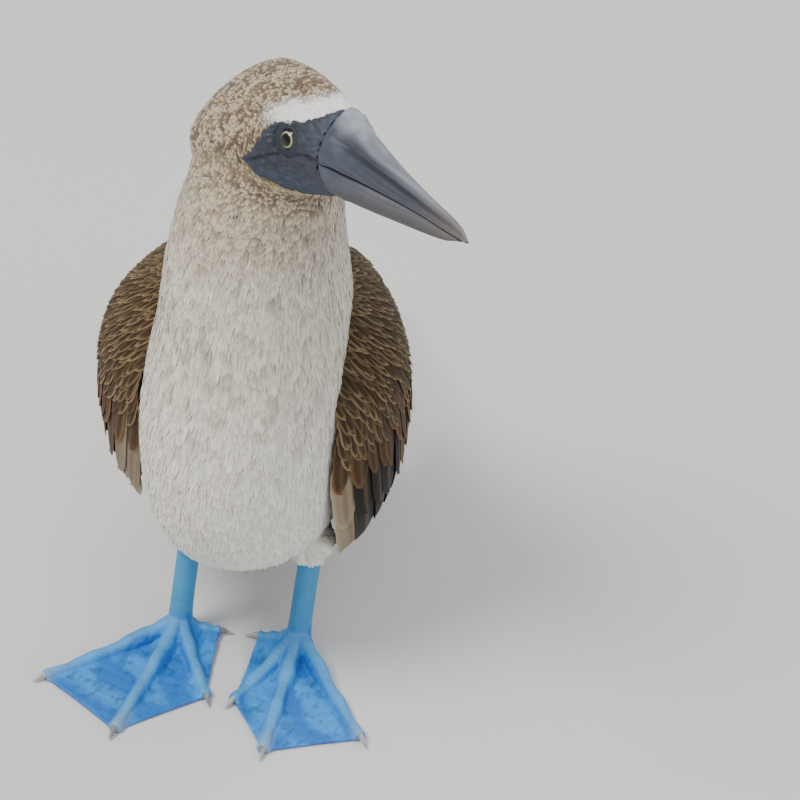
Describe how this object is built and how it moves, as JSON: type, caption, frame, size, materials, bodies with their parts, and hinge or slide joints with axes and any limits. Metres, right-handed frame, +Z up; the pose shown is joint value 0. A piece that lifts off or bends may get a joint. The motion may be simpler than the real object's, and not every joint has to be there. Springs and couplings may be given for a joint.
{
  "type": "blue-footed booby, life-size still model",
  "caption": "Standing seabird with a long pointed bill, folded brown wings, pale breast and large blue webbed feet.",
  "frame": {"origin": "on the floor, at the middle of the bird's outline seen from above", "axes": "+Z up; the bird stands facing -Y, its left side is towards +X, and its tail runs back towards +Y"},
  "size_m": [0.206, 0.4436, 0.3284],
  "materials": {
    "head_feathers": "soft brown feathers with cream tips",
    "body_feathers": "soft off-white feathers with faint grey-brown mottling",
    "wing_feathers": "dark brown feathers with pale edges",
    "tail_feathers": "dark brown feathers",
    "bill": "satin blue-grey horn with fine lengthwise grain",
    "eye": "wet gloss, large black pupil with a thin pale yellow ring",
    "leg_skin": "scaled turquoise skin",
    "web_skin": "matt bright blue webbed skin with pale toes",
    "claw": "satin grey horn"
  },
  "bodies": {
    "root": {"head": "head_feathers", "neck": "body_feathers", "torso": "body_feathers", "bill_upper": "bill", "bill_lower": "bill", "eye_left": "eye", "eye_right": "eye", "leg_left": "leg_skin", "leg_right": "leg_skin", "foot_left": "web_skin", "foot_right": "web_skin", "wing_left": "wing_feathers", "wing_right": "wing_feathers", "tail": "tail_feathers", "claw_left_outer": "claw", "claw_left_middle": "claw", "claw_left_inner": "claw", "claw_left_hind": "claw", "claw_right_outer": "claw", "claw_right_middle": "claw", "claw_right_inner": "claw", "claw_right_hind": "claw"}
  },
  "joints": []
}
